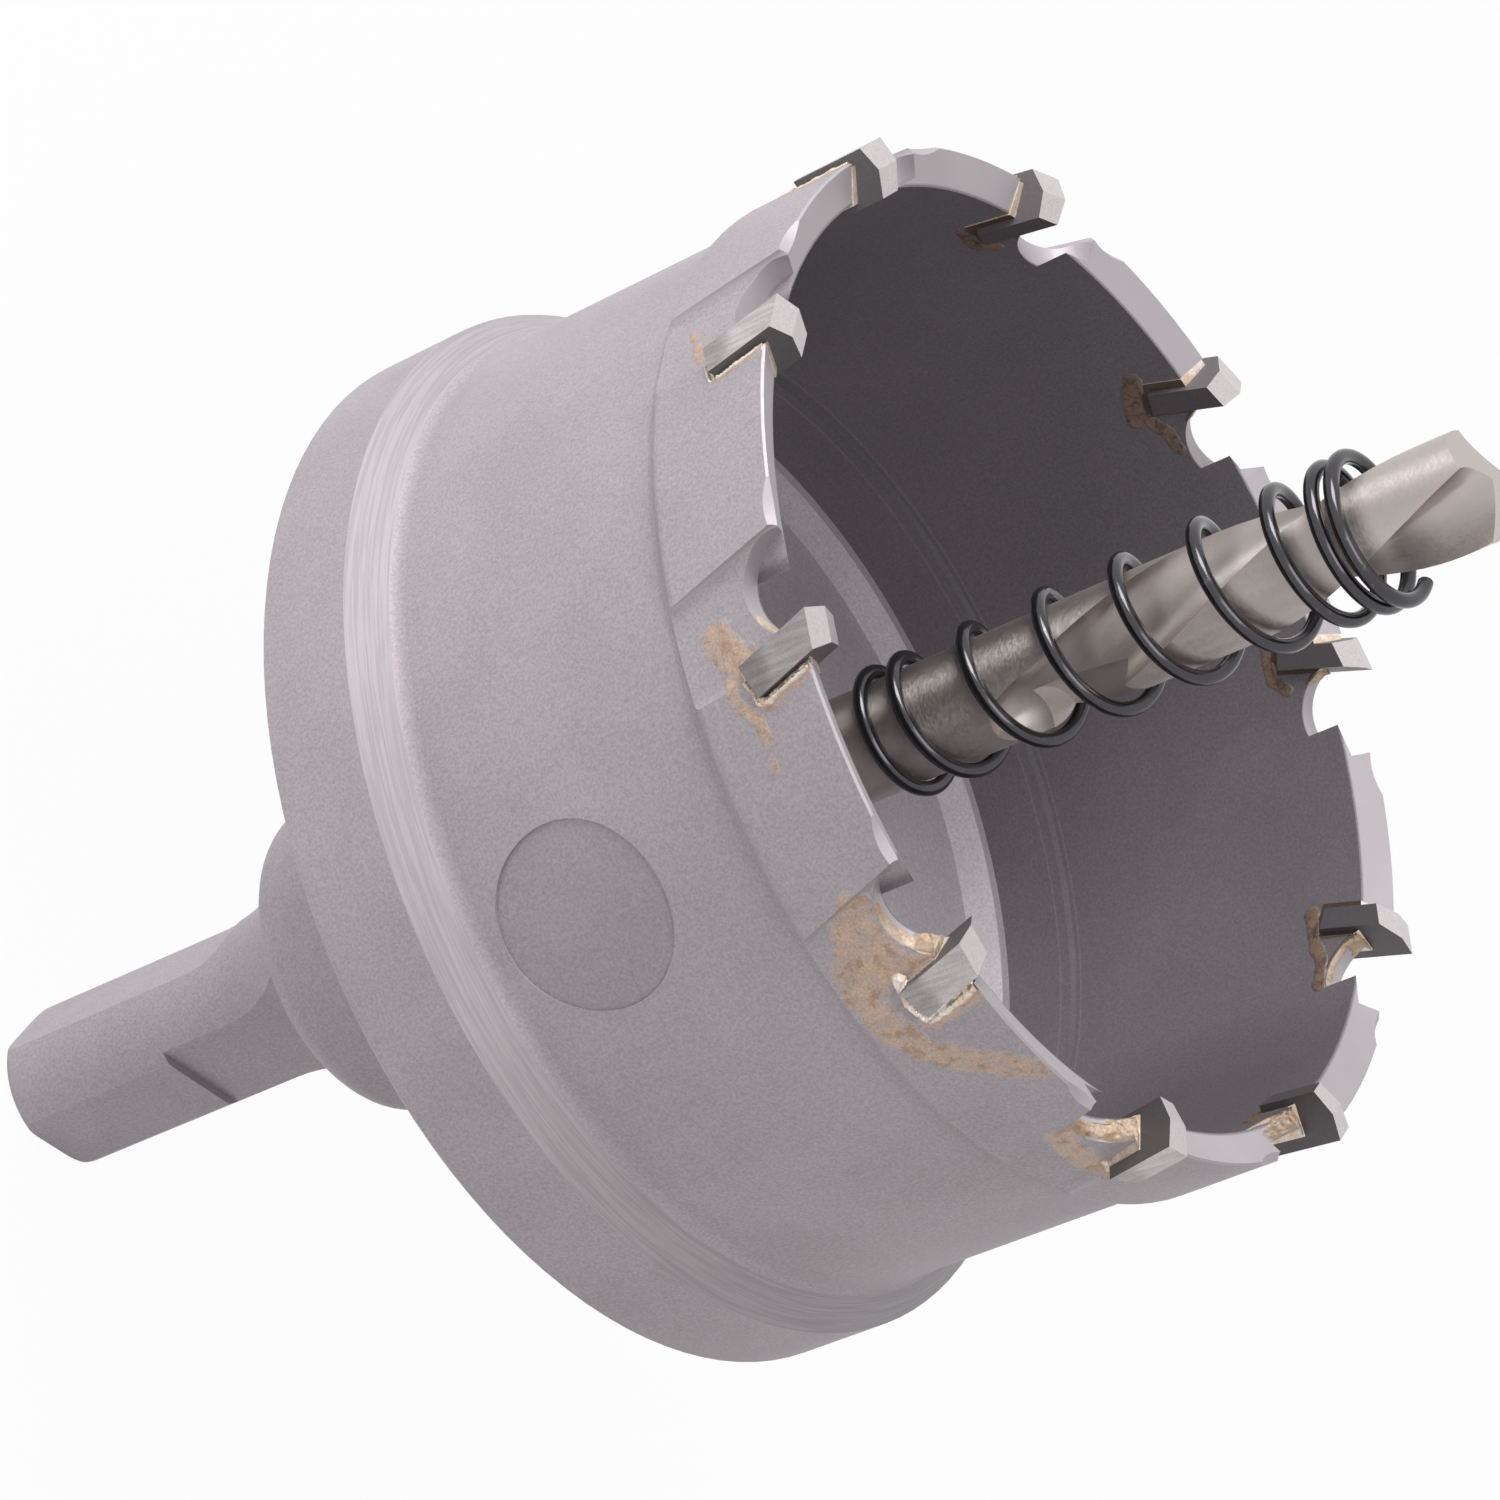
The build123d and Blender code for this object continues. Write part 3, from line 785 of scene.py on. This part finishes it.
def wall_braze(name, tree, number, runs, finish):
    """Braze on a gullet's wall, between the bore and the outer wall."""
    out, tangent = tooth_axes(number)
    seed = number * WALL_SEED_STEP + WALL_SEED
    wall_runs = [
        ([on_wall(radians(degrees), share) for degrees, share in path], width, height)
        for path, width, height in runs
    ]
    grid = []
    for i in range(WALL_ROWS + 1):
        share = i / WALL_ROWS
        line = []
        for j in range(WALL_COLUMNS + 1):
            turn = radians(WALL_FIRST + (WALL_LAST - WALL_FIRST) * j / WALL_COLUMNS)
            side = tangent * cos(turn) + Vector((0, 0, sin(turn)))
            along = GULLET_CENTRE + GULLET_RADIUS * cos(turn)
            up = GULLET_HEIGHT + GULLET_RADIUS * sin(turn)
            edge = outside_foot(tree, number, along + WALL_MARGIN * cos(turn), up + WALL_MARGIN * sin(turn))
            inner = sqrt(BORE_RADIUS ** 2 - along ** 2)
            if edge is None or edge.dot(out) < inner + LEAST_WALL:
                line.append(None)
                continue
            depth = inner + (edge.dot(out) - inner) * share
            height, cover = swell(on_wall(turn, share), wall_runs, seed)
            height *= 1 - abs(2 * share - 1) ** 4
            foot = out * depth + tangent * along + Vector((0, 0, up))
            line.append((foot, -side, height, cover))
        grid.append(line)
    grid.reverse()
    return skin(name, grid, finish)


surface = surface_tree()
for number in range(1, TOOTH_COUNT + 1):
    stain = STAINS.get(number, USUAL_STAIN)
    bead = BEADS.get(number, USUAL_BEAD)
    inside = INSIDES.get(number, USUAL_INSIDE)
    wall = WALLS.get(number, USUAL_WALL)
    spread(f"braze_stain_{number:02d}", surface, number, stain, STAIN_CELL, finish_stain)
    spread(f"braze_bead_{number:02d}", surface, number, bead, BEAD_CELL, finish_seam)
    spread(f"braze_inside_{number:02d}", surface, number, inside, STAIN_CELL, finish_inner_stain, inner=True)
    wall_braze(f"braze_wall_{number:02d}", surface, number, wall, finish_wall)


# Camera, lights and surroundings

def camera_axes():
    """Right, up and backward directions of the fitted camera, and its place."""
    elevation = radians(CAMERA_ELEVATION)
    offset = CAMERA_DISTANCE * Vector((0, -cos(elevation), sin(elevation)))
    forward = -offset.normalized()
    right = Vector((1, 0, 0))
    down = forward.cross(right)
    yaw = Matrix.Rotation(radians(CAMERA_YAW), 3, down)
    right, forward = yaw @ right, yaw @ forward
    pitch = Matrix.Rotation(radians(CAMERA_PITCH), 3, right)
    forward, down = pitch @ forward, pitch @ down
    roll = Matrix.Rotation(radians(CAMERA_ROLL), 3, forward)
    right, down = roll @ right, roll @ down
    return right, -down, -forward, offset + Vector((0, 0, FLANGE_BACK))


def add_camera():
    """Camera at the photograph's viewing angle."""
    right, up, back, position = camera_axes()
    data = bpy.data.cameras.new("camera")
    data.sensor_width = SENSOR_WIDTH
    data.lens = FOCAL_PIXELS / IMAGE_PIXELS * SENSOR_WIDTH
    camera = bpy.data.objects.new("camera", data)
    rotation = Matrix((right, up, back)).transposed().to_4x4()
    camera.matrix_world = Matrix.Translation(position) @ rotation
    bpy.context.scene.collection.objects.link(camera)
    bpy.context.scene.camera = camera


def add_lamp(name, direction, distance, size, power):
    """Square soft lamp that lights the middle of the cup from a direction: right, up and towards the camera."""
    right, up, back, _ = camera_axes()
    way = (right * direction[0] + up * direction[1] + back * direction[2]).normalized()
    data = bpy.data.lights.new(name, "AREA")
    data.shape = "SQUARE"
    data.size = size
    data.energy = power
    lamp = bpy.data.objects.new(name, data)
    lamp.location = Vector((0, 0, LIT_MIDDLE)) + way * distance
    lamp.rotation_euler = way.to_track_quat("Z", "Y").to_euler()
    bpy.context.scene.collection.objects.link(lamp)


def add_world(light, shown):
    """Pale surroundings, stronger from above than from below; white is what the camera and reflections see."""
    world = bpy.data.worlds.new("surroundings")
    world.use_nodes = True
    tree = world.node_tree
    tree.nodes.clear()
    background = tree.nodes.new("ShaderNodeBackground")
    background.inputs["Color"].default_value = WHITE
    direction = tree.nodes.new("ShaderNodeTexCoord").outputs["Generated"]
    rise = vector_calc(tree, "DOT_PRODUCT", direction, camera_axes()[1])
    level = product(tree, calc(tree, "ADD", product(tree, rise, SKY_TILT), 1.0), light)
    tree.links.new(blend_value(tree, shown_rays(tree), level, shown), background.inputs["Strength"])
    output = tree.nodes.new("ShaderNodeOutputWorld")
    tree.links.new(background.outputs[0], output.inputs["Surface"])
    bpy.context.scene.world = world


def add_floor():
    """Plain pale floor that the shank's end stands on."""
    mesh = bpy.data.meshes.new("floor")
    corners = [(x * FLOOR_REACH, y * FLOOR_REACH, 0) for x, y in ((-1, -1), (1, -1), (1, 1), (-1, 1))]
    mesh.from_pydata(corners, [], [(0, 1, 2, 3)])
    stage_floor = bpy.data.objects.new("floor", mesh)
    bpy.context.scene.collection.objects.link(stage_floor)
    material, tree, shader = new_material("floor_white")
    shader.inputs["Base Color"].default_value = FLOOR_COLOUR
    shader.inputs["Roughness"].default_value = 0.9
    glow = tree.nodes.new("ShaderNodeEmission")
    glow.inputs["Color"].default_value = WHITE
    mix = tree.nodes.new("ShaderNodeMixShader")
    tree.links.new(product(tree, shown_rays(tree), FLOOR_WHITE), mix.inputs[0])
    tree.links.new(shader.outputs[0], mix.inputs[1])
    tree.links.new(glow.outputs[0], mix.inputs[2])
    output = next(node for node in tree.nodes if node.type == "OUTPUT_MATERIAL")
    tree.links.new(mix.outputs[0], output.inputs["Surface"])
    mesh.materials.append(material)


add_camera()
add_lamp("key", direction=(0.12, 0.89, 0.44), distance=1.2, size=0.6, power=10.6)
add_lamp("fill", direction=(0.5, 0.1, 0.86), distance=1.4, size=0.8, power=5.8)
add_world(light=0.30, shown=1.0)
add_floor()
bpy.context.scene.view_settings.view_transform = "Standard"
